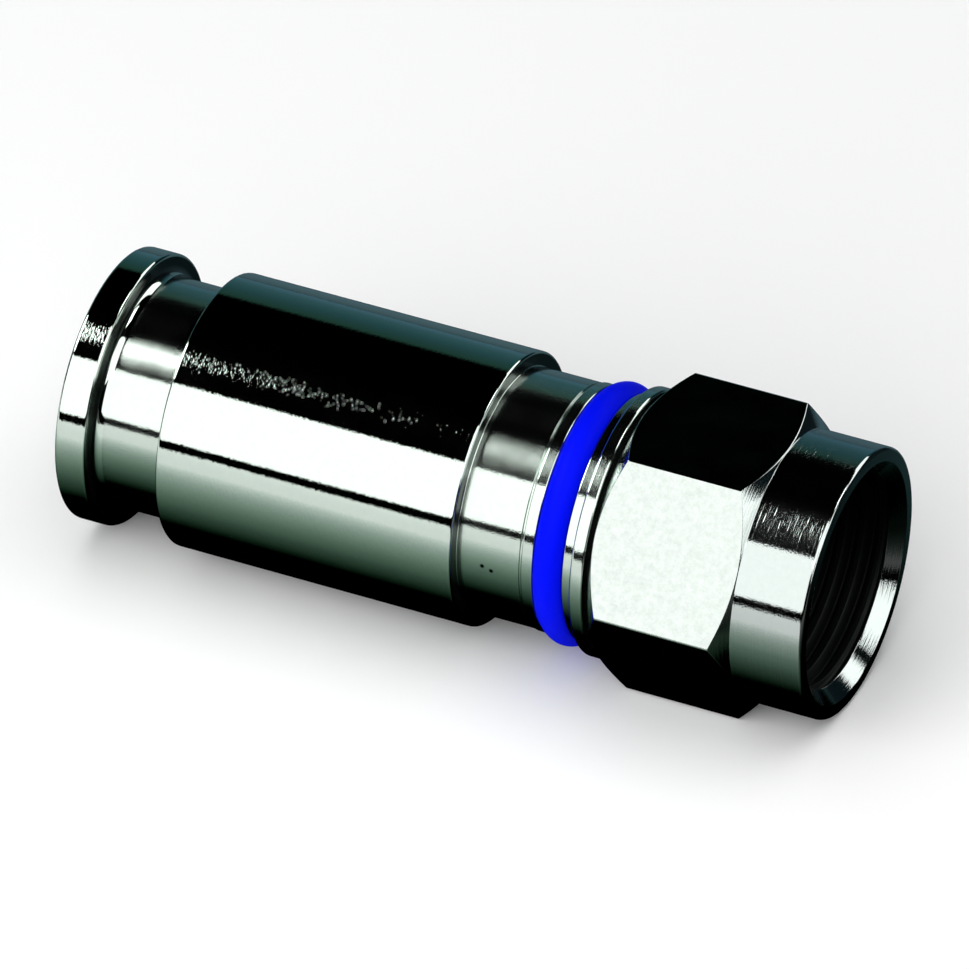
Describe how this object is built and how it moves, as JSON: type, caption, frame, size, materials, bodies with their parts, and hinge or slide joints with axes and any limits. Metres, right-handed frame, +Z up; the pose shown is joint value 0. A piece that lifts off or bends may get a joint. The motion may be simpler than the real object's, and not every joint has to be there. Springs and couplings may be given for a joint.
{
  "type": "coaxial compression connector",
  "caption": "Screw-on coaxial compression connector: free-spinning hexagon coupling nut, turned barrel with a blue ring, inner post and a sliding compression sleeve.",
  "frame": {"origin": "centre of the cable entry at the sleeve's rear face", "axes": "+X along the connector's axis from the cable entry to the port mouth, +Z up with one flat of the hexagon facing down"},
  "size_m": [0.0322, 0.0128, 0.0112],
  "materials": {
    "nickel_plate": "bright nickel plate on turned brass",
    "blue_rubber": "smooth, slightly glossy",
    "black_rubber": "matt",
    "white_plastic": "matt moulded"
  },
  "bodies": {
    "connector_body": {"barrel_body": "nickel_plate", "post": "nickel_plate", "colour_ring": "blue_rubber", "nut_seal": "black_rubber"},
    "nut": {"coupling_nut": "nickel_plate"},
    "sleeve": {"compression_sleeve": "nickel_plate", "grip_ring": "white_plastic"}
  },
  "joints": [
    {"name": "nut_spin", "type": "hinge", "parent": "connector_body", "child": "nut", "pos_m": [0.0236, 0, 0], "axis": [1, 0, 0], "continuous": true},
    {"name": "sleeve_slide", "type": "slide", "parent": "connector_body", "child": "sleeve", "axis": [1, 0, 0], "range_m": [0, 0.0031]}
  ]
}
